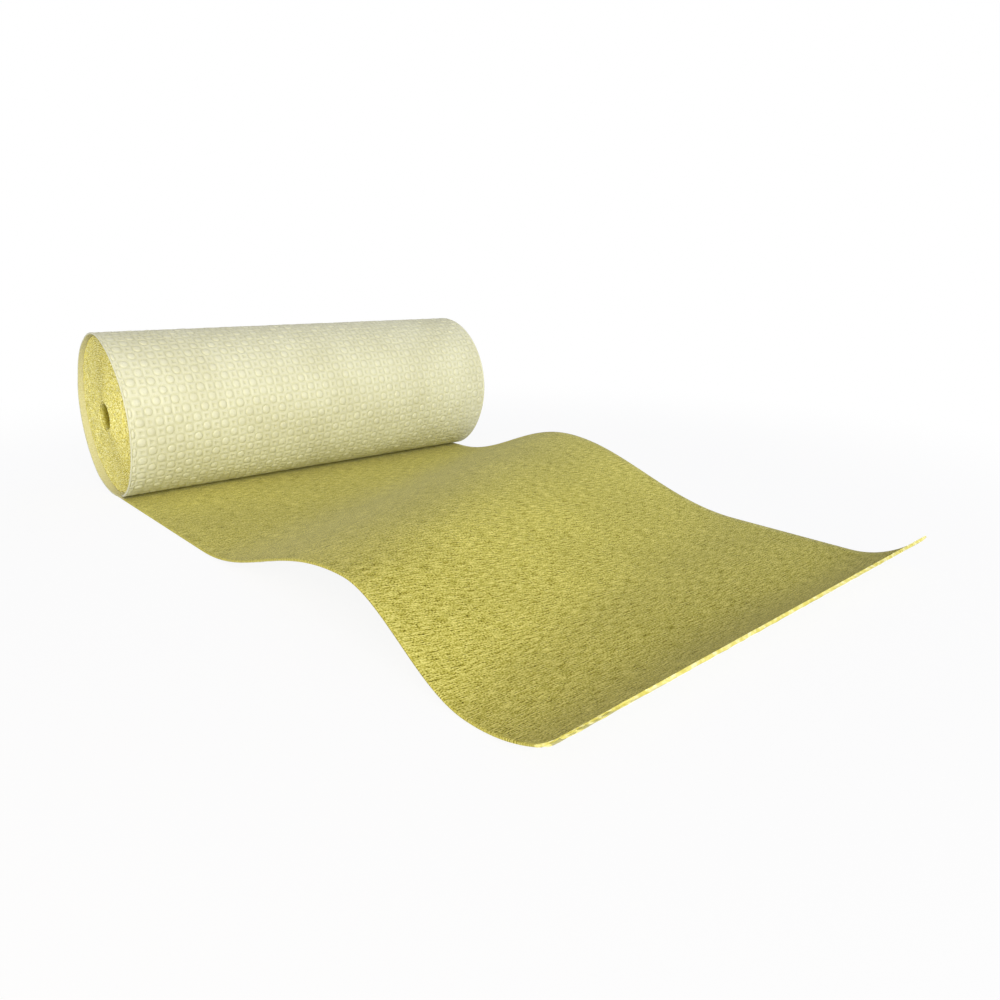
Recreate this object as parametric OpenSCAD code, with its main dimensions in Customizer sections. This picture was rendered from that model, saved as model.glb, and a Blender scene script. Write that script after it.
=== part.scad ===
// Uncoupling membrane roll, lying on the floor with its loose end laid out in front of it.
// X runs along the loose sheet, Y along the axis of the roll, from the near end to the far end, and Z up.
// The origin is on the floor, under the middle of the whole piece.

/* [Membrane] */
// Width of the membrane, which is also the length of the roll
membrane_w = 1000; // [700:10:1300]
// Thickness of the membrane where it lies loose
membrane_t = 6; // [4:0.5:10]

/* [Roll] */
// Height of the roll over the floor
roll_h = 380; // [300:2:480]
// Diameter of the open bore
bore_d = 60; // [40:1:90]
// How far the studs of a wound turn sink into the turn below
turn_press = 1; // [0.5:0.1:2]
// Width of the gap between two turns at the ends of the roll
turn_gap = 0.8; // [0.4:0.1:1.5]
// Depth of the gap between two turns at the ends of the roll
turn_gap_depth = 5; // [2:0.5:10]
// How far the last turn stands out past the turn below it at the near end
last_turn_proud = 14; // [4:0.5:24]
// How far the first turn stands out past the turn below the last one at the near end
first_turn_proud = 12; // [0:0.5:14]

/* [Wave in the loose sheet] */
// Height of the crest's underside over the floor
wave_h = 108; // [60:1:140]
// Flat run between the axis of the roll and the wave, at the near edge
near_gap = 510; // [300:5:700]
// Length of the side towards the roll, at the near edge
near_rise = 525; // [350:5:600]
// Length of the side towards the free end, at the near edge
near_fall = 285; // [200:5:500]
// Flat run between the axis of the roll and the wave, at the far edge
far_gap = 90; // [40:5:200]
// Length of the side towards the roll, at the far edge
far_rise = 440; // [350:5:600]
// Length of the side towards the free end, at the far edge
far_fall = 525; // [350:5:600]

/* [Free end] */
// Flat run between the wave and the curl, at the near edge
end_flat = 5; // [5:1:100]
// Length of the curl at the near edge
near_curl_l = 145; // [80:5:250]
// Length of the curl at the far edge
far_curl_l = 160; // [80:5:250]
// Angle that the curl turns up by, at the near edge
near_curl = 28; // [15:1:60]
// Angle that the curl turns up by, at the far edge
far_curl = 51; // [15:1:60]

/* [Hidden] */
$fn = 96;

studded_face = [0.90, 0.88, 0.70];
fleece_face = [0.66, 0.63, 0.26];

// Room left round cutting and trimming tools
spare = 10;
// Straight steps that each side of the wave is drawn with
wave_steps = 20;
// Straight steps that the curl is drawn with
curl_steps = 12;

// The roll is wound on two centres: each turn is a half ring behind the axis and a smaller one in front,
// so that it comes down one pitch higher than it started, on the sheet that leaves below it.
turn_pitch = membrane_t - turn_press;
back_r = roll_h / 2;
front_r = back_r - turn_pitch / 2;
back_z = back_r;
front_z = back_r + turn_pitch / 2;
bore_z = (back_z + front_z) / 2;
turns = floor((front_r - bore_d / 2) / turn_pitch);

// Places along X, from the axis of the roll
curl_x = near_gap + near_rise + near_fall + end_flat;
end_x = curl_x + max(curl_reach(near_curl_l, near_curl), curl_reach(far_curl_l, far_curl));
middle_x = (end_x - back_r) / 2;

// How far turn k lies back from the edge of the last turn at the near end
function setback(k) = k == 0 ? 0 : last_turn_proud - first_turn_proud * (k - 1) / (turns - 2);

// Step between turn k and the turn over it, with the gap between them, on the near end
function near_step(r, k) = [
    [r - turn_gap / 2, setback(k)],
    [r - turn_gap / 2, setback(k) + turn_gap_depth],
    [r + turn_gap / 2, setback(k) + turn_gap_depth],
    [r + turn_gap / 2, setback(k - 1)]
];

// Gap over turn k on the far end, where the turns lie flush
function flush_gap(r) = [
    [r + turn_gap / 2, membrane_w],
    [r + turn_gap / 2, membrane_w - turn_gap_depth],
    [r - turn_gap / 2, membrane_w - turn_gap_depth],
    [r - turn_gap / 2, membrane_w]
];

// Section of half the roll: radius along x, distance from the near edge along y
function half_section(outer_r) = concat(
    [[0, setback(turns - 1)]],
    [for (k = [turns - 1 : -1 : 1]) each near_step(outer_r - k * turn_pitch, k)],
    [[outer_r, 0], [outer_r, membrane_w]],
    [for (k = [1 : turns - 1]) each flush_gap(outer_r - k * turn_pitch)],
    [[0, membrane_w]]
);

// Half of the roll, turned about its own centre line; side is 1 behind the axis and -1 in front
module half_roll(outer_r, centre_z, side)
    translate([0, -membrane_w / 2, centre_z])
        rotate([-90, 0, 0])
            rotate([0, 0, 90 * side])
                rotate_extrude(angle = 180)
                    polygon(half_section(outer_r));

module bore()
    translate([0, 0, bore_z])
        rotate([90, 0, 0])
            cylinder(d = bore_d, h = membrane_w + 2 * spare, center = true);

module wound_roll()
    difference() {
        union() {
            half_roll(back_r, back_z, 1);
            half_roll(front_r, front_z, -1);
        }
        bore();
    }

// Share of the wave's height at a share p of its side
function ease(p) = (1 - cos(180 * p)) / 2;

// Bend radius of a curl of a length that turns up by an angle, and its reach along X
function curl_r(length, angle) = length * 180 / (PI * angle);
function curl_reach(length, angle) = curl_r(length, angle) * sin(angle);

// Underside of the sheet along one edge, from below the roll to the free end
function edge_path(gap, rise, fall, length, curl) = concat(
    [[0, 0]],
    [for (i = [0 : wave_steps]) [gap + rise * i / wave_steps, wave_h * ease(i / wave_steps)]],
    [for (i = [1 : wave_steps]) [gap + rise + fall * i / wave_steps, wave_h * ease(1 - i / wave_steps)]],
    [for (i = [0 : curl_steps])
        let (r = curl_r(length, curl), a = curl * i / curl_steps)
            [curl_x + r * sin(a), r * (1 - cos(a))]]
);

// Upward normal of a path at its point i
function normal(path, i) =
    let (along = path[min(i + 1, len(path) - 1)] - path[max(i - 1, 0)])
        [-along.y, along.x] / norm(along);

// Upper side of the sheet along the same edge
function upper_path(path) = [for (i = [0 : len(path) - 1]) path[i] + membrane_t * normal(path, i)];

// A path drawn in the upright plane at y
function at(path, y) = [for (p = path) [p.x, y, p.y]];

// Two triangles between points i and i + 1 of one row and the same points of the next row
function strip(row, next, i) = [[row + i, next + i, next + i + 1], [row + i, next + i + 1, row + i + 1]];

// Loose sheet, ruled between its near and far edges
module loose_sheet() {
    near_path = edge_path(near_gap, near_rise, near_fall, near_curl_l, near_curl);
    far_path = edge_path(far_gap, far_rise, far_fall, far_curl_l, far_curl);
    n = len(near_path);
    rows = [0, n, 2 * n, 3 * n];
    polyhedron(
        points = concat(
            at(near_path, -membrane_w / 2),
            at(upper_path(near_path), -membrane_w / 2),
            at(upper_path(far_path), membrane_w / 2),
            at(far_path, membrane_w / 2)
        ),
        faces = concat(
            [for (side = [0 : 3]) for (i = [0 : n - 2]) each strip(rows[side], rows[(side + 1) % 4], i)],
            [rows],
            [[for (side = [3 : -1 : 0]) rows[side] + n - 1]]
        )
    );
}

module membrane()
    translate([-middle_x, 0, 0])
        union() {
            color(studded_face)
                wound_roll();
            color(fleece_face)
                loose_sheet();
        }

membrane();
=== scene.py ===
"""Looks of the uncoupling membrane roll: studded face, fleece, cut edges, floor, light and camera."""

import math

import bmesh
import bpy
import numpy as np
from mathutils import Matrix, Vector


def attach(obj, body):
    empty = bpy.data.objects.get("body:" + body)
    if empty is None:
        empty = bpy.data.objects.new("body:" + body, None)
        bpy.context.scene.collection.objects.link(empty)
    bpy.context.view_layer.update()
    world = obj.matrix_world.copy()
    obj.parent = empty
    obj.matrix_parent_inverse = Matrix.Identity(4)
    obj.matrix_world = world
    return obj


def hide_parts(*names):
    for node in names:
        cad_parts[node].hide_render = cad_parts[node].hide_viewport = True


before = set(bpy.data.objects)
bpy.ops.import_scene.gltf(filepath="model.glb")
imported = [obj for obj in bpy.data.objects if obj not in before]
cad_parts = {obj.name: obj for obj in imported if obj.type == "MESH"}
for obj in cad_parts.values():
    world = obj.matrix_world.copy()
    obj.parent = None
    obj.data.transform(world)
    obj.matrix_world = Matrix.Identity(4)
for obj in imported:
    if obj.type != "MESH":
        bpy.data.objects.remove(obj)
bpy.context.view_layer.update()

# Sizes of the solid, in metres
WIDTH = 1.0
THICK = 0.006
ROLL_H = 0.380
BORE_R = 0.030
TURN_PRESS = 0.001
# How far the last turn stands out at the near end, and how much of that the turns inside come out again
LAST_PROUD = 0.014
FIRST_PROUD = 0.012
WAVE_H = 0.108
# The sheet's two edges: flat run, rise and fall of the wave, length and angle of the curl
NEAR_EDGE = dict(gap=0.510, rise=0.525, fall=0.285, length=0.145, curl=math.radians(28))
FAR_EDGE = dict(gap=0.090, rise=0.440, fall=0.525, length=0.160, curl=math.radians(51))
END_FLAT = 0.005

# The winding on its two centres, and places along the sheet
TURN_PITCH = THICK - TURN_PRESS
BACK_R = ROLL_H / 2
FRONT_R = BACK_R - TURN_PITCH / 2
BACK_Z = BACK_R
FRONT_Z = BACK_R + TURN_PITCH / 2
BORE_Z = (BACK_Z + FRONT_Z) / 2
TURNS = int((FRONT_R - BORE_R) / TURN_PITCH)
TURN_L = math.pi * (BACK_R + FRONT_R)
CURL_X = NEAR_EDGE["gap"] + NEAR_EDGE["rise"] + NEAR_EDGE["fall"] + END_FLAT
END_X = CURL_X + max(e["length"] * math.sin(e["curl"]) / e["curl"] for e in (NEAR_EDGE, FAR_EDGE))
MIDDLE_X = (END_X - BACK_R) / 2
HALF_W = WIDTH / 2

# Studs: round domes and square frames in turn, like the fields of a chess board
STUD_H = 0.0023
CELL_S, CELL_Y = 0.02248, 0.021
CELLS_ROLL, CELLS_SHEET, CELLS_Y = 52, 67, 47
# Smooth rim and row of cut fields along the near edge
NEAR_RIM, CUT_CELL = 0.0023, 0.0075
# Lines between the fields, across the membrane and along its last turn
LINES_Y = NEAR_RIM - HALF_W + np.append(0.0, CUT_CELL + CELL_Y * np.arange(CELLS_Y + 1))
LINES_ROLL = np.append(0.0, TURN_L - CELL_S * np.arange(CELLS_ROLL, -1, -1))
# Parts of a field's side between two points, on the roll and below the sheet
PER_SIDE_ROLL, PER_SIDE_SHEET = 3, 2
# Height of the border between two fields, in shares of a stud, at its corners and along its sides
CORNER_H, SIDE_H = 0.52, 0.20
# Rings of a dome and squares of a frame: half width in shares of a field, height in shares of a stud
FINE_DOME = ((0.470, 0.02), (0.425, 0.45), (0.28, 0.80))
COARSE_DOME = ((0.47, 0.06), (0.34, 0.7))
RIDGE, POCKET_RIM, POCKET_FLOOR = (0.42, 0.76), (0.23, 0.73), (0.165, 0.14)
# How the single studs differ: height and width in shares, shift in shares of a field
TALL, WIDE, STRAY = (0.62, 1.0), (0.90, 1.02), 0.035

# Edges of the membrane: depths below the tips of the studs, and bevels
RIM_D, SIDE_D, INNER_D = 0.0005, 0.0018, 0.0046
NEAR_BAND, FAR_BAND = 0.0014, 0.0020
BEVEL, SHEET_FAR_BEVEL = 0.0006, 0.0010
INNER_BEVEL_L, INNER_BEVEL_D = 0.0008, 0.0005
TOP_BEVEL_L, TOP_BEVEL_D = 0.0012, 0.0010

# The lip: how far its face goes in behind the next turn's end, how many stations of the sheet it goes on
# over below the roll, how far across its uneven line reaches
LIP_OVERLAP = 0.004
LIP_STATIONS = 6
LIP_REACH = 0.035
# How far the lip at the near end lies in, by share of the turn, after the photo's outline of it
LIP_LINE = np.array([
    (0.00, 0.0), (0.04, -0.0020), (0.09, -0.0040), (0.14, -0.0028), (0.20, -0.0015), (0.27, 0.0002),
    (0.32, 0.0028), (0.38, 0.0032), (0.43, 0.0040), (0.48, 0.0022), (0.53, -0.0015), (0.57, -0.0040),
    (0.62, -0.0052), (0.85, -0.0058), (0.93, -0.0045), (0.97, 0.0030), (1.00, 0.0135),
])

# Bulge of the roll's lower front under its weight,
# and the angles from the bottom where it starts, is greatest and ends
SAG = 0.005
SAG_START, SAG_MOST, SAG_END = (math.radians(a) for a in (3, 26, 72))

# Free end: solid rim along the cut, round near corner, slight waver of the cut, studs that it goes through
RIM_L = 0.004
CORNER_R = 0.022
CUT_WAVE = 0.0007
CUT_WAVE_LONG, CUT_WAVE_SHORT = 0.13, 0.047
TRIM_L = 0.050
SCALLOP_LOW, SCALLOP_H = 0.0001, 0.0006

# Columns of the sheet's top: beside the near edge, and over the rest
NEAR_COLUMNS = np.array([TOP_BEVEL_L, 0.003, 0.006, 0.010, 0.015])
TOP_COLUMNS = 46

# Ends of the turns inside: rays over an end, gap between two turns, waver of their edges, mouth of the bore;
# the gaps and the bore get painted shade, darkest past the mouth
RAYS = 120
GAP_D = 0.0018
GAP_SHADE = 0.7
WAVER = 0.0010
BORE_SKIN = 0.0004
MOUTH_L = 0.011
MOUTH_SHADE = 0.6
# Across one turn: depth below its outside, depth of the gap there, which also sets the painted shade, share
# of the waver
TURN_ACROSS = (
    (0.0, GAP_D, 0.0), (0.0005, 0.0006, 0.3), (0.0016, 0.0, 1.0), (0.0034, 0.0, 1.0), (0.0045, 0.0006, 0.3),
)

# Edges sharper than this stay sharp, and points that share a micron are welded
SHARP_ANGLE = math.radians(55)
MICRONS = 1e6

STUDS, FLEECE, EDGE, LIP = range(4)
WHITE = (1.0, 1.0, 1.0, 1.0)


# Studded face
def ring_points(radius, height, count):
    """Ring of a round dome, in shares of a cell, from the corner on."""
    a = np.radians(225) + 2 * np.pi * np.arange(count) / count
    return np.stack((radius * np.cos(a), radius * np.sin(a), np.full(count, height)), 1)


def square_points(half, height, per_side):
    """Square round the middle of a cell, from the same corner on."""
    k = 2 * half * np.arange(per_side) / per_side - half
    h = np.full(per_side, half)
    x = np.concatenate((k, h, -k, -h))
    y = np.concatenate((-h, k, h, -k))
    return np.stack((x, y, np.full(4 * per_side, height)), 1)


def ring_faces(outer, inner, n):
    """Faces between two rings of n points that start at these indices."""
    return [(outer + i, outer + (i + 1) % n, inner + (i + 1) % n, inner + i) for i in range(n)]


def border_points(per_side):
    """Border of a cell, raised at its corners, where the frames meet."""
    points = square_points(0.5, SIDE_H, per_side)
    points[::per_side, 2] = CORNER_H
    return points


def dome_cell(per_side, rings):
    """Round dome in a groove: points, faces and number of border points."""
    n = 4 * per_side
    tip = np.array([[0.0, 0.0, 1.0]])
    points = np.concatenate([border_points(per_side)] + [ring_points(r, h, n) for r, h in rings] + [tip])
    faces = []
    for k in range(len(rings)):
        faces += ring_faces(k * n, (k + 1) * n, n)
    last = len(rings) * n
    faces += [(last + i, last + (i + 1) % n, last + n) for i in range(n)]
    return points, faces, n


def frame_cell(per_side):
    """Square frame round a small square pocket: points, faces and number of border points."""
    n = 4 * per_side
    points = np.concatenate((
        border_points(per_side),
        square_points(*RIDGE, per_side),
        square_points(*POCKET_RIM, 1),
        square_points(*POCKET_FLOOR, 1),
    ))
    faces = ring_faces(0, n, n)
    inner, floor_of = 2 * n, 2 * n + 4
    for side in range(4):
        a = [n + (side * per_side + i) % n for i in range(per_side + 1)]
        b = [inner + side, inner + (side + 1) % 4]
        middle = per_side // 2
        for i in range(per_side):
            if per_side % 2 and i == middle:
                faces.append((a[i], a[i + 1], b[1], b[0]))
            else:
                faces.append((a[i], a[i + 1], b[0] if i < middle else b[1]))
        if per_side % 2 == 0:
            faces.append((a[middle], b[1], b[0]))
    faces += ring_faces(inner, floor_of, 4)
    faces.append(tuple(range(floor_of, floor_of + 4)))
    return points, faces, n


def between(lines, per_side):
    """Places of the points that the cells share at their borders, from the lines between the cells."""
    steps = lines[:-1, None] + np.diff(lines)[:, None] * np.arange(per_side) / per_side
    return np.append(steps.ravel(), lines[-1])


def border_depth(per_side, places):
    """Depth of the points at these places along a line between cells."""
    h = np.where(np.arange(len(places)) % per_side == 0, CORNER_H, SIDE_H)
    return STUD_H * (1 - h)


def rim_depth(y):
    """Lower side of the cut at the free end, scalloped by the studs that it goes through."""
    scallop = SCALLOP_LOW + SCALLOP_H * np.abs(np.sin(np.pi * (y - LINES_Y[1]) / (2 * CELL_Y)))
    at_side = np.minimum(np.abs(y - LINES_Y[0]), np.abs(y - LINES_Y[-1])) < 1 / MICRONS
    return np.where(at_side, STUD_H, scallop)


class Shell:
    """Collects points as (s, y, d): distance along the membrane, place across, depth below the tips, each
    with its level of painted light.
    """

    def __init__(self):
        self.points, self.faces, self.mats, self.painted_light, self.count = [], [], [], [], 0

    def add(self, points, faces, mats, painted_light):
        self.points.append(points)
        self.painted_light.append(painted_light)
        self.faces += [tuple(i + self.count for i in f) for f in faces]
        self.mats += mats
        self.count += len(points)

    def cells(self, lines_s, per_side, dome, first, seed):
        """Fields of the studded face; first is the kind of the first field, as on a chess board."""
        rng = np.random.default_rng(seed)
        for kind, (template, faces, border) in enumerate((dome_cell(per_side, dome), frame_cell(per_side))):
            for i in range(len(lines_s) - 1):
                for j in range(len(LINES_Y) - 1):
                    if (i + j + first) % 2 != kind:
                        continue
                    p = template.copy()
                    tall, wide = rng.uniform(*TALL), rng.uniform(*WIDE)
                    shift = rng.uniform(-STRAY, STRAY, 2)
                    p[border:, :2] = p[border:, :2] * wide + shift
                    h = p[:, 2].copy()
                    h[border:] *= tall
                    s = lines_s[i] + (0.5 + p[:, 0]) * (lines_s[i + 1] - lines_s[i])
                    y = LINES_Y[j] + (0.5 + p[:, 1]) * (LINES_Y[j + 1] - LINES_Y[j])
                    field = np.stack((s, y, STUD_H * (1 - h)), 1)
                    # The stud's height sets its painted light: painted shade in the grooves, lighter on the
                    # tops.
                    self.add(field, faces, [STUDS] * len(faces), p[:, 2])

    def wrap(self, stations, profile, mats, painted_light, side_depth):
        """Strip that goes round the near edge, the smooth face and the far edge.

        The profile holds (y, d), and side_depth holds d of its first and last point at each station.
        """
        n, m = len(stations), len(profile)
        points = np.concatenate((np.repeat(stations, m)[:, None], np.tile(np.array(profile), (n, 1))), 1)
        points[0::m, 2] = points[m - 1::m, 2] = side_depth
        faces, kinds = [], []
        for i in range(n - 1):
            for j in range(m - 1):
                a = i * m + j
                faces.append((a, a + 1, a + m + 1, a + m))
                kinds.append(mats[j])
        self.add(points, faces, kinds, np.tile(np.array(painted_light, float), n))

    def rim(self, s_in, s_out, per_side):
        """Strip of the studded side that thickens towards the cut at the free end."""
        y = between(LINES_Y, per_side)
        n = len(y)
        inner = np.stack((np.full(n, s_in), y, border_depth(per_side, y)), 1)
        outer = np.stack((np.full(n, s_out), y, rim_depth(y)), 1)
        faces = [(i, i + 1, n + i + 1, n + i) for i in range(n - 1)]
        self.add(np.concatenate((inner, outer)), faces, [STUDS] * len(faces), np.full(2 * n, 0.5))

    def end_cap(self, s, profile, across, depth):
        """Face that closes the shell at one of its ends; depth holds d of the shared points across."""
        y = np.concatenate(([p[0] for p in profile], across[-2:0:-1]))
        d = np.concatenate((depth[:1], [p[1] for p in profile[1:-1]], depth[:0:-1]))
        points = np.stack((np.full(len(y), s), y, d), 1)
        self.add(points, [tuple(range(len(y)))], [EDGE], np.zeros(len(y)))

    def build(self, name, place, materials):
        """Welds the points, places them in the model's frame and makes the object."""
        points = np.concatenate(self.points)
        painted_light = np.concatenate(self.painted_light)
        s, y, d = np.round(points.T * MICRONS).astype(np.int64)
        packed = ((s + (1 << 22)) << 38) + ((y + (1 << 20)) << 16) + d + (1 << 14)
        _, first, inverse = np.unique(packed, return_index=True, return_inverse=True)
        flat, painted_light_at_points = points[first], painted_light[first]
        faces = [tuple(inverse[i] for i in f) for f in self.faces]
        return mesh_object(name, place(flat), faces, self.mats, materials, flat[:, [1, 0]], painted_light_at_points)


def mesh_object(name, points, faces, mats, materials, uv, painted_light):
    """Mesh with its materials, its flat layout as texture coordinates and its level of painted light at each
    point.
    """
    mesh = bpy.data.meshes.new(name)
    points = points - np.array((MIDDLE_X, 0.0, 0.0))
    mesh.from_pydata([tuple(p) for p in points], [], faces)
    mesh.polygons.foreach_set("material_index", np.array(mats, np.int32))
    loops = np.zeros(len(mesh.loops), np.int32)
    mesh.loops.foreach_get("vertex_index", loops)
    layer = mesh.uv_layers.new(name="flat")
    layer.data.foreach_set("uv", np.asarray(uv, np.float32)[loops].ravel())
    painted_light_layer = mesh.attributes.new("painted_light", "FLOAT", "POINT")
    painted_light_layer.data.foreach_set("value", np.asarray(painted_light, np.float32))
    work = bmesh.new()
    work.from_mesh(mesh)
    bmesh.ops.recalc_face_normals(work, faces=work.faces)
    work.to_mesh(mesh)
    work.free()
    for m in materials:
        mesh.materials.append(m)
    mesh.shade_smooth()
    mesh.set_sharp_from_angle(angle=SHARP_ANGLE)
    mesh.update()
    obj = bpy.data.objects.new(name, mesh)
    bpy.context.scene.collection.objects.link(obj)
    return obj


# Places on the membrane
def ease(p):
    """Smooth rise from 0 to 1."""
    return (1 - np.cos(np.pi * p)) / 2


def edge_line(edge, n=60):
    """Underside of the sheet along one edge, from below the roll to the free end, as (x, z)."""
    p = np.linspace(0, 1, n)
    q = p[:-1]
    crest = edge["gap"] + edge["rise"]
    foot = crest + edge["fall"]
    r = edge["length"] / edge["curl"]
    x = (q * edge["gap"], edge["gap"] + edge["rise"] * q, crest + edge["fall"] * q,
         foot + (CURL_X - foot) * q, CURL_X + r * np.sin(edge["curl"] * p))
    z = (0 * q, WAVE_H * ease(q), WAVE_H * ease(1 - q), 0 * q, r * (1 - np.cos(edge["curl"] * p)))
    return np.stack((np.concatenate(x), np.concatenate(z)), 1)


def end_trim(y):
    """How far the cut at the free end lies back from the straight line."""
    inside = np.clip(CORNER_R - (y + HALF_W), 0, CORNER_R)
    corner = CORNER_R - np.sqrt(CORNER_R ** 2 - inside ** 2)
    waves = np.sin(2 * np.pi * y / CUT_WAVE_LONG) + np.sin(2 * np.pi * y / CUT_WAVE_SHORT + 1.0)
    return corner + CUT_WAVE * (2 + waves)


class LooseSheet:
    """Ruled surface between the two edge lines, by share of its length and place across."""

    ROWS, COLUMNS = 801, 81

    def __init__(self):
        near, far = edge_line(NEAR_EDGE), edge_line(FAR_EDGE)
        share = np.linspace(0, 1, self.ROWS)
        self.grid = np.zeros((self.ROWS, self.COLUMNS, 4))
        lengths = []
        for j, t in enumerate(np.linspace(0, 1, self.COLUMNS)):
            line = near * (1 - t) + far * t
            run = np.concatenate(([0.0], np.cumsum(np.linalg.norm(np.diff(line, axis=0), axis=1))))
            lengths.append(run[-1])
            x, z = (np.interp(share * run[-1], run, line[:, c]) for c in (0, 1))
            dx, dz = np.gradient(x), np.gradient(z)
            n = np.hypot(dx, dz)
            self.grid[:, j] = np.stack((x, z, -dz / n, dx / n), 1)
        self.length = float(np.mean(lengths))

    def place(self, p):
        """Points from distance along, place across and height over the underside."""
        s = p[:, 0] - np.clip((p[:, 0] - self.length + TRIM_L) / TRIM_L, 0, 1) * end_trim(p[:, 1])
        u = np.clip(s / self.length, 0, 1) * (self.ROWS - 1)
        v = np.clip(p[:, 1] / WIDTH + 0.5, 0, 1) * (self.COLUMNS - 1)
        i, j = np.minimum(u.astype(int), self.ROWS - 2), np.minimum(v.astype(int), self.COLUMNS - 2)
        a, b = (u - i)[:, None], (v - j)[:, None]
        near = self.grid[i, j] * (1 - a) + self.grid[i + 1, j] * a
        far = self.grid[i, j + 1] * (1 - a) + self.grid[i + 1, j + 1] * a
        x, z, up_x, up_z = (near * (1 - b) + far * b).T
        return np.stack((x + up_x * p[:, 2], p[:, 1], z + up_z * p[:, 2]), 1)


def sag(x, z):
    """Share of its radius that a point of the roll moves out by, where the roll bulges over the sheet."""
    angle = np.arctan2(x, BORE_Z - z)
    rise = np.sin(np.pi / 2 * np.clip((angle - SAG_START) / (SAG_MOST - SAG_START), 0, 1)) ** 2
    fall = np.cos(np.pi / 2 * np.clip((angle - SAG_MOST) / (SAG_END - SAG_MOST), 0, 1)) ** 2
    return SAG / BACK_R * rise * fall * (np.hypot(x, z - BORE_Z) / BACK_R) ** 3


def place_on_turn(k, share, depth):
    """(x, z) on turn k, counted from the outside, at a share of the turn from the bottom over the back."""
    back = share < 0.5
    angle = 2 * np.pi * np.where(back, share, share - 0.5)
    r = np.where(back, BACK_R, FRONT_R) - k * TURN_PITCH - depth
    x = np.where(back, -r * np.sin(angle), r * np.sin(angle))
    z = np.where(back, BACK_Z - r * np.cos(angle), FRONT_Z + r * np.cos(angle))
    push = 1 + sag(x, z)
    return x * push, BORE_Z + (z - BORE_Z) * push


def lip_shift(share, y):
    """How far a point near the lip lies in, at a share of the turn and a place across."""
    near = np.clip((LIP_REACH - HALF_W - y) / LIP_REACH, 0, 1)
    return near ** 2 * np.interp(share, LIP_LINE[:, 0], LIP_LINE[:, 1])


def place_last_turn(p):
    """Points on the last turn from distance along it, place across and depth below its outside."""
    half = math.pi * BACK_R
    s = p[:, 0]
    share = np.where(s < half, 0.5 * s / half, 0.5 + 0.5 * (s - half) / (math.pi * FRONT_R))
    x, z = place_on_turn(0, share, p[:, 2])
    return np.stack((x, p[:, 1] + lip_shift(share, p[:, 1]), z), 1)


# Materials
def linear(r, g, b):
    """Colour of the shader from the values 0 to 255 that it shows as."""
    v = [c / 255 for c in (r, g, b)]
    return tuple(c / 12.92 if c <= 0.04045 else ((c + 0.055) / 1.055) ** 2.4 for c in v) + (1.0,)


class Maker:
    """Small helper for building one material's nodes."""

    def __init__(self, name):
        self.material = bpy.data.materials.new(name)
        self.material.use_nodes = True
        self.nodes, self.links = self.material.node_tree.nodes, self.material.node_tree.links
        self.shader = next(n for n in self.nodes if n.type == "BSDF_PRINCIPLED")

    def node(self, kind, inputs=(), **values):
        n = self.nodes.new(kind)
        for key, value in values.items():
            setattr(n, key, value)
        for key, value in inputs:
            n.inputs[key].default_value = value
        return n

    def link(self, a, b):
        self.links.new(a, b)

    def scaled(self, vector, scale):
        m = self.node("ShaderNodeMapping", [("Scale", scale)])
        self.link(vector, m.inputs["Vector"])
        return m.outputs["Vector"]

    def layout(self, across, along):
        """Flat layout of the membrane, scaled across and along."""
        return self.scaled(self.node("ShaderNodeUVMap", uv_map="flat").outputs["UV"], (across, along, 1.0))

    def place(self, scale):
        """Place in the model, scaled."""
        return self.scaled(self.node("ShaderNodeTexCoord").outputs["Object"], (scale, scale, scale))

    def noise(self, vector, detail=3.0, roughness=0.55):
        n = self.node("ShaderNodeTexNoise", [("Scale", 1.0), ("Detail", detail), ("Roughness", roughness)])
        self.link(vector, n.inputs["Vector"])
        return n.outputs["Fac"]

    def ramp(self, value, *stops):
        n = self.node("ShaderNodeValToRGB")
        ramp = n.color_ramp
        while len(ramp.elements) < len(stops):
            ramp.elements.new(0.5)
        for e, (at, colour) in zip(ramp.elements, stops):
            e.position, e.color = at, colour
        self.link(value, n.inputs["Fac"])
        return n.outputs["Color"]

    def multiply(self, a, b):
        n = self.node("ShaderNodeMix", data_type="RGBA", blend_type="MULTIPLY")
        sockets = {s.identifier: s for s in n.inputs}
        sockets["Factor_Float"].default_value = 1.0
        self.link(a, sockets["A_Color"])
        self.link(b, sockets["B_Color"])
        return next(s for s in n.outputs if s.identifier == "Result_Color")

    def blend(self, a, share, b):
        """Value a by its share, with b for the rest."""
        rest = self.node("ShaderNodeMath", operation="MULTIPLY")
        rest.inputs[1].default_value = 1 - share
        self.link(b, rest.inputs[0])
        both = self.node("ShaderNodeMath", operation="MULTIPLY_ADD")
        both.inputs[1].default_value = share
        self.link(a, both.inputs[0])
        self.link(rest.outputs["Value"], both.inputs[2])
        return both.outputs["Value"]

    def painted_light(self):
        return self.node("ShaderNodeAttribute", attribute_name="painted_light").outputs["Fac"]

    def bump(self, height, strength, distance):
        n = self.node("ShaderNodeBump", [("Strength", strength), ("Distance", distance)])
        self.link(height, n.inputs["Height"])
        self.link(n.outputs["Normal"], self.shader.inputs["Normal"])

    def finish(self, colour, **constants):
        self.link(colour, self.shader.inputs["Base Color"])
        for key, value in constants.items():
            self.shader.inputs[key.replace("_", " ").title().replace("Ior", "IOR")].default_value = value
        return self.material


def stud_plastic():
    m = Maker("stud_plastic")
    # Painted shade: the colour is darker where the painted light level is low, in the grooves between the
    # studs, and lighter on their tops and on the smooth rims.
    colour = m.ramp(
        m.painted_light(), (0.0, linear(205, 204, 166)), (0.5, linear(214, 213, 178)), (1.0, linear(218, 217, 188)))
    cloud = m.ramp(m.noise(m.place(9.0)), (0.3, linear(244, 243, 238)), (0.62, WHITE))
    m.bump(m.noise(m.place(300.0)), 0.5, 0.0015)
    return m.finish(m.multiply(colour, cloud), roughness=0.5, specular_ior_level=0.5)


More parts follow.
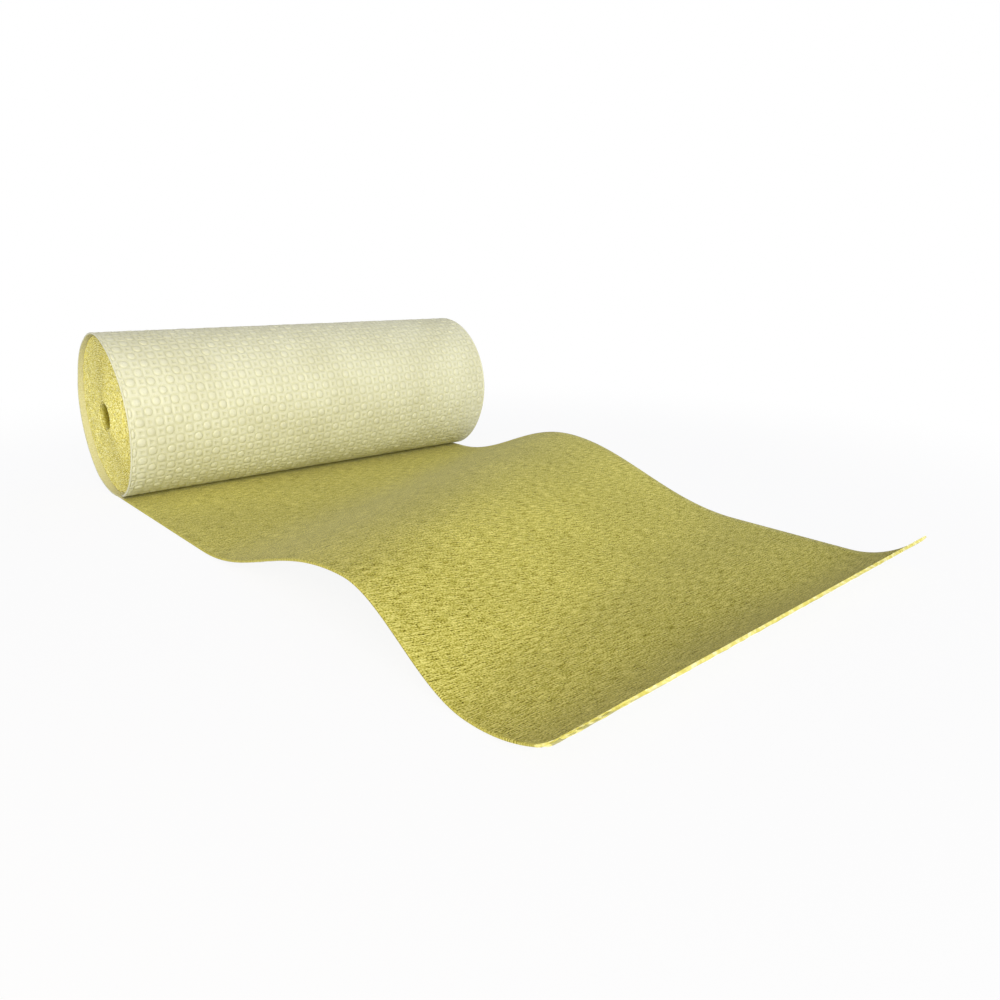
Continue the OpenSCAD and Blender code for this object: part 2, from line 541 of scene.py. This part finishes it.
def fleece():
    m = Maker("fleece")
    dashes = m.noise(m.layout(40.0, 470.0), 1.0, 0.6)
    fibres = m.noise(m.layout(280.0, 520.0), 2.0, 0.6)
    grain = m.blend(dashes, 0.40, fibres)
    colour = m.ramp(
        grain, (0.37, linear(86, 79, 14)), (0.47, linear(189, 181, 74)), (0.60, linear(239, 232, 136)))
    cloud = m.ramp(m.noise(m.layout(3.0, 4.0), 2.0), (0.3, linear(240, 240, 240)), (0.66, WHITE))
    m.bump(grain, 0.5, 0.003)
    return m.finish(
        m.multiply(colour, cloud), roughness=0.85, specular_ior_level=0.1,
        sheen_weight=0.25, sheen_roughness=0.25, sheen_tint=linear(224, 223, 196))


def cut_edge():
    m = Maker("cut_edge")
    spots = m.noise(m.place(110.0), 2.0)
    colour = m.ramp(
        spots, (0.36, linear(212, 202, 98)), (0.52, linear(226, 218, 128)), (0.66, linear(236, 231, 178)))
    m.bump(m.noise(m.place(700.0), 2.0), 0.4, 0.0008)
    return m.finish(colour, roughness=0.6)


def lip_face():
    m = Maker("lip_face")
    fibres = m.noise(m.layout(300.0, 300.0))
    m.bump(fibres, 0.3, 0.001)
    colour = m.ramp(fibres, (0.35, linear(190, 184, 124)), (0.65, linear(208, 203, 156)))
    return m.finish(colour, roughness=0.7)


def turn_ends():
    m = Maker("turn_ends")
    speck = m.noise(m.place(360.0), 2.0, 0.6)
    shade = m.ramp(
        speck, (0.36, linear(180, 165, 50)), (0.5, linear(243, 233, 120)), (0.64, linear(255, 253, 200)))
    # Painted shade from the painted light level: dark in the gaps between the turns and inside the bore
    deep = m.ramp(m.painted_light(), (0.0, linear(148, 141, 68)), (0.3, linear(190, 184, 126)), (0.7, WHITE))
    m.bump(m.noise(m.place(520.0)), 0.6, 0.002)
    return m.finish(m.multiply(shade, deep), roughness=0.8, specular_ior_level=0.25)


MATERIALS = [stud_plastic(), fleece(), cut_edge(), lip_face()]
TURN_ENDS = turn_ends()


# Pieces
def make_last_turn():
    """The last turn, with its studded outside and the lip that stands out at the near end."""
    near, far = -HALF_W, HALF_W
    profile = [
        (LINES_Y[0], STUD_H), (near + NEAR_BAND, RIM_D), (near + BEVEL, RIM_D), (near, RIM_D + BEVEL),
        (near, INNER_D - INNER_BEVEL_D), (near + INNER_BEVEL_L, INNER_D),
        (near + LAST_PROUD + LIP_OVERLAP, INNER_D), (far - INNER_BEVEL_L, INNER_D),
        (far, INNER_D - INNER_BEVEL_D), (far, RIM_D + BEVEL), (far - BEVEL, RIM_D),
        (far - FAR_BAND, RIM_D), (LINES_Y[-1], STUD_H),
    ]
    mats = [STUDS] * 4 + [LIP] * 2 + [FLEECE] + [EDGE] * 2 + [STUDS] * 3
    # Painted light along the profile: lit on the smooth rims, painted shade where they meet the fields; only
    # the studded faces show it.
    painted_light = [0, 1, 1, 0.8] + [0.5] * 5 + [0.8, 1, 1, 0]
    stations = between(LINES_ROLL, PER_SIDE_ROLL)
    across = between(LINES_Y, PER_SIDE_ROLL)
    shell = Shell()
    shell.cells(LINES_ROLL, PER_SIDE_ROLL, FINE_DOME, first=0, seed=11)
    shell.wrap(stations, profile, mats, painted_light, border_depth(PER_SIDE_ROLL, stations))
    for s in (0.0, TURN_L):
        shell.end_cap(s, profile, across, border_depth(PER_SIDE_ROLL, across))
    return shell.build("last_turn", place_last_turn, MATERIALS)


def make_loose_sheet(form):
    """The loose sheet, with its studs below, its fleece on top and its cut at the free end."""
    near, far = -HALF_W, HALF_W
    lines = (form.length - RIM_L) * np.arange(CELLS_SHEET + 1) / CELLS_SHEET
    top_y = np.append(near + NEAR_COLUMNS, np.linspace(near + CORNER_R, far - TOP_BEVEL_L, TOP_COLUMNS))
    near_side = [
        (LINES_Y[0], STUD_H), (near + NEAR_BAND, SIDE_D), (near + BEVEL, SIDE_D), (near, SIDE_D + BEVEL),
        (near, THICK - TOP_BEVEL_D),
    ]
    far_side = [
        (far, THICK - TOP_BEVEL_D), (far, SIDE_D + BEVEL), (far - SHEET_FAR_BEVEL, SIDE_D),
        (far - FAR_BAND, SIDE_D), (LINES_Y[-1], STUD_H),
    ]
    profile = near_side + [(y, THICK) for y in top_y] + far_side
    # Painted light along the profile, which only the studded faces show: painted shade at their borders.
    painted_light = [0] + [0.5] * (len(profile) - 2) + [0]
    # The lip's face goes on below the roll, along the near edge
    tops, lips = len(top_y) + 3, len(NEAR_COLUMNS) + 2
    mats = [STUDS] * 3 + [FLEECE] * tops + [STUDS] * 3
    lip_mats = [STUDS] * 3 + [LIP] * lips + [FLEECE] * (tops - lips) + [STUDS] * 3
    fields = between(lines, PER_SIDE_SHEET)
    across = between(LINES_Y, PER_SIDE_SHEET)
    stations = np.append(fields, form.length)
    depth = np.append(border_depth(PER_SIDE_SHEET, fields), STUD_H)
    below, rest = slice(0, LIP_STATIONS), slice(LIP_STATIONS - 1, None)
    shell = Shell()
    shell.cells(lines, PER_SIDE_SHEET, COARSE_DOME, first=1, seed=23)
    shell.wrap(stations[below], profile, lip_mats, painted_light, depth[below])
    shell.wrap(stations[rest], profile, mats, painted_light, depth[rest])
    shell.rim(lines[-1], form.length, PER_SIDE_SHEET)
    shell.end_cap(0.0, profile, across, border_depth(PER_SIDE_SHEET, across))
    shell.end_cap(form.length, profile, across, rim_depth(across))
    return shell.build("loose_sheet", form.place, MATERIALS)


def make_inner_turns():
    """The turns inside, as one winding with its two ends and its bore."""
    rng = np.random.default_rng(5)
    first, last = 1, TURNS - 1
    per_turn = len(TURN_ACROSS)
    rows = (last - first + 1) * per_turn + 1
    points, faces, painted_light = [], [], []

    def ray_of(share, wraps):
        """One ray over an end: (x, z, setback, gap depth, waver) from the outside in."""
        out = []
        for i in range(rows + (per_turn if wraps else 0)):
            k, (depth, gap, loose) = first + i // per_turn, TURN_ACROSS[i % per_turn]
            x, z = (float(c) for c in place_on_turn(k, np.array(share), depth))
            push = max(1.0, (BORE_R + BORE_SKIN) / math.hypot(x, z - BORE_Z))
            set_back = LAST_PROUD - FIRST_PROUD * min(1.0, (k + share - first) / (last - first))
            out.append((x * push, BORE_Z + (z - BORE_Z) * push, set_back, gap, loose))
        return out

    def bore_ring(y, height):
        """Ring of the bore's wall, with height as its level of painted light; returns the indices of its
        points.
        """
        start = len(points)
        for j in range(RAYS):
            a = 2 * math.pi * j / RAYS
            points.append((-BORE_R * math.sin(a), y, BORE_Z - BORE_R * math.cos(a)))
            painted_light.append(height)
        return list(range(start, start + RAYS))

    def end(near):
        """One end of the winding; returns its outer loop, the rim of the bore and a ring inside the bore."""
        index = {}
        for j, ray in enumerate(rays):
            for i, (x, z, set_back, gap, loose) in enumerate(ray):
                deep = gap + WAVER * loose * rng.uniform(-1, 1)
                y = -HALF_W + set_back + max(deep, -WAVER) if near else HALF_W - max(deep, 0.0)
                index[j, i] = len(points)
                points.append((x, y, z))
                # Painted shade in the gaps between the turns
                painted_light.append(1 - GAP_SHADE * gap / GAP_D)
        for i in range(rows):
            index[RAYS, i] = index[0, i + per_turn]
        for j in range(RAYS):
            for i in range(rows - 1):
                faces.append((index[j, i], index[j + 1, i], index[j + 1, i + 1], index[j, i + 1]))
        y = points[index[RAYS - 1, rows - 1]][1]
        # Painted shade at the bore's mouth
        rim = bore_ring(y, MOUTH_SHADE)
        for j in range(RAYS):
            faces.append((index[j, rows - 1], index[j + 1, rows - 1], rim[(j + 1) % RAYS], rim[j]))
        step = [index[0, i] for i in range(rows - 1, rows + per_turn)]
        faces.append(tuple(step[::-1] + rim[:1]))
        outer = [index[j, 0] for j in range(RAYS)] + [index[0, i] for i in range(per_turn, 0, -1)]
        # Ring inside the bore, past which the bore is painted in full shade
        inside = bore_ring(y + (MOUTH_L if near else -MOUTH_L), 0.0)
        return outer, rim, inside

    rays = [ray_of(j / RAYS, j == 0) for j in range(RAYS)]
    near_outer, near_rim, near_in = end(True)
    far_outer, far_rim, far_in = end(False)
    walls = ((near_outer, far_outer), (near_rim, near_in), (near_in, far_in), (far_in, far_rim))
    for one, other in walls:
        n = len(one)
        faces += [(one[j], one[(j + 1) % n], other[(j + 1) % n], other[j]) for j in range(n)]
    spots = np.array(points)
    return mesh_object("inner_turns", spots, faces, [0] * len(faces), [TURN_ENDS], spots[:, [1, 0]], painted_light)


sheet_form = LooseSheet()
last_turn = make_last_turn()
loose_sheet = make_loose_sheet(sheet_form)
inner_turns = make_inner_turns()

for piece, slot in ((last_turn, "studded_face"), (inner_turns, "fleece_face"), (loose_sheet, "fleece_face")):
    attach(piece, "root")
    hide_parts("membrane")

# Floor and backdrop
FLOOR_HALF = 14.0
FLOOR_DROP = 0.0005
FLOOR_COLOUR = (0.9, 0.9, 0.9, 1.0)
# Distances from the middle where the floor starts to run into the backdrop and is one with it
FADE_START, FADE_END = 0.9, 2.3
FADE_LEAST = 0.90
SKY = (1.0, 1.0, 1.22, 1.0)
SKY_LEVEL = 0.39


def seen_directly(nodes, links):
    """1 for what the camera sees itself, in gloss or through glass."""
    path = nodes.new("ShaderNodeLightPath")
    first, second = (nodes.new("ShaderNodeMath") for _ in range(2))
    first.operation = second.operation = "MAXIMUM"
    links.new(path.outputs["Is Camera Ray"], first.inputs[0])
    links.new(path.outputs["Is Glossy Ray"], first.inputs[1])
    links.new(first.outputs["Value"], second.inputs[0])
    links.new(path.outputs["Is Transmission Ray"], second.inputs[1])
    return second.outputs["Value"]


def floor_material():
    """White floor that keeps the shadow near the object and runs into the white backdrop further out."""
    mat = bpy.data.materials.new("floor_white")
    mat.use_nodes = True
    nodes, links = mat.node_tree.nodes, mat.node_tree.links
    nodes.clear()
    out = nodes.new("ShaderNodeOutputMaterial")
    diffuse = nodes.new("ShaderNodeBsdfDiffuse")
    diffuse.inputs["Color"].default_value = FLOOR_COLOUR
    glow = nodes.new("ShaderNodeEmission")
    glow.inputs["Color"].default_value = WHITE
    where = nodes.new("ShaderNodeTexCoord")
    far = nodes.new("ShaderNodeVectorMath")
    far.operation = "LENGTH"
    links.new(where.outputs["Object"], far.inputs[0])
    share = nodes.new("ShaderNodeMapRange")
    share.interpolation_type = "SMOOTHSTEP"
    ends = (("From Min", FADE_START), ("From Max", FADE_END), ("To Min", FADE_LEAST), ("To Max", 1.0))
    for key, value in ends:
        share.inputs[key].default_value = value
    links.new(far.outputs["Value"], share.inputs["Value"])
    shown = nodes.new("ShaderNodeMath")
    shown.operation = "MULTIPLY"
    links.new(share.outputs["Result"], shown.inputs[0])
    links.new(seen_directly(nodes, links), shown.inputs[1])
    mix = nodes.new("ShaderNodeMixShader")
    links.new(shown.outputs["Value"], mix.inputs["Fac"])
    links.new(diffuse.outputs["BSDF"], mix.inputs[1])
    links.new(glow.outputs["Emission"], mix.inputs[2])
    links.new(mix.outputs["Shader"], out.inputs["Surface"])
    return mat


def studio_world():
    """Soft light from all round, white where the camera sees it."""
    world = bpy.data.worlds.new("studio")
    world.use_nodes = True
    nodes, links = world.node_tree.nodes, world.node_tree.links
    nodes.clear()
    light, white = (nodes.new("ShaderNodeBackground") for _ in range(2))
    light.inputs["Color"].default_value = SKY
    light.inputs["Strength"].default_value = SKY_LEVEL
    white.inputs["Color"].default_value = WHITE
    mix = nodes.new("ShaderNodeMixShader")
    links.new(seen_directly(nodes, links), mix.inputs["Fac"])
    links.new(light.outputs["Background"], mix.inputs[1])
    links.new(white.outputs["Background"], mix.inputs[2])
    out = nodes.new("ShaderNodeOutputWorld")
    links.new(mix.outputs["Shader"], out.inputs["Surface"])
    return world


floor_mesh = bpy.data.meshes.new("floor")
corners = [(FLOOR_HALF * a, FLOOR_HALF * b, 0) for a, b in ((-1, -1), (1, -1), (1, 1), (-1, 1))]
floor_mesh.from_pydata(corners, [], [(0, 1, 2, 3)])
floor_mesh.materials.append(floor_material())
floor = bpy.data.objects.new("floor", floor_mesh)
floor.location.z = -FLOOR_DROP
bpy.context.scene.collection.objects.link(floor)
bpy.context.scene.world = studio_world()


# Lamps
def lamp(name, place, aim, size, power, colour):
    data = bpy.data.lights.new(name, "AREA")
    data.shape = "SQUARE"
    data.size = size
    data.energy = power
    data.color = colour
    obj = bpy.data.objects.new(name, data)
    obj.location = place
    obj.rotation_mode = "QUATERNION"
    obj.rotation_quaternion = (Vector(aim) - Vector(place)).to_track_quat("-Z", "Y")
    bpy.context.scene.collection.objects.link(obj)


lamp("key", place=(10.3, -4.65, 3.85), aim=(-0.1, 0.0, 0.12), size=8.0, power=1390.0, colour=(1.0, 1.0, 0.96))
lamp("front", place=(1.06, -1.7, 1.1), aim=(0.3, -0.35, 0.08), size=1.0, power=5.0, colour=(1.0, 0.70, 0.20))

# Camera, solved from the photo's outlines; the tilt is the photo's own
CAMERA_AT = Vector((1.9947 - MIDDLE_X, -1.0545, 0.5423))
YAW, PITCH, TILT = math.radians(48.034), math.radians(19.755), 0.0159
SENSOR = 36.0
# Focal length and upward shift, in shares of the picture's width
FOCAL, SHIFT_Y = 0.8053, 0.0509
CLIP_END = 60.0

back = Vector((math.sin(YAW) * math.cos(PITCH), -math.cos(YAW) * math.cos(PITCH), math.sin(PITCH)))
level = Vector((math.cos(YAW), math.sin(YAW), 0.0))
upright = back.cross(level)
right = level * math.cos(TILT) + upright * math.sin(TILT)
up = upright * math.cos(TILT) - level * math.sin(TILT)
camera_data = bpy.data.cameras.new("camera")
camera_data.sensor_width = SENSOR
camera_data.lens = FOCAL * SENSOR
camera_data.shift_y = SHIFT_Y
camera_data.clip_end = CLIP_END
camera = bpy.data.objects.new("camera", camera_data)
camera.matrix_world = Matrix((
    (right.x, up.x, back.x, CAMERA_AT.x),
    (right.y, up.y, back.y, CAMERA_AT.y),
    (right.z, up.z, back.z, CAMERA_AT.z),
    (0.0, 0.0, 0.0, 1.0),
))
bpy.context.scene.collection.objects.link(camera)
bpy.context.scene.camera = camera
bpy.context.scene.view_settings.view_transform = "Standard"
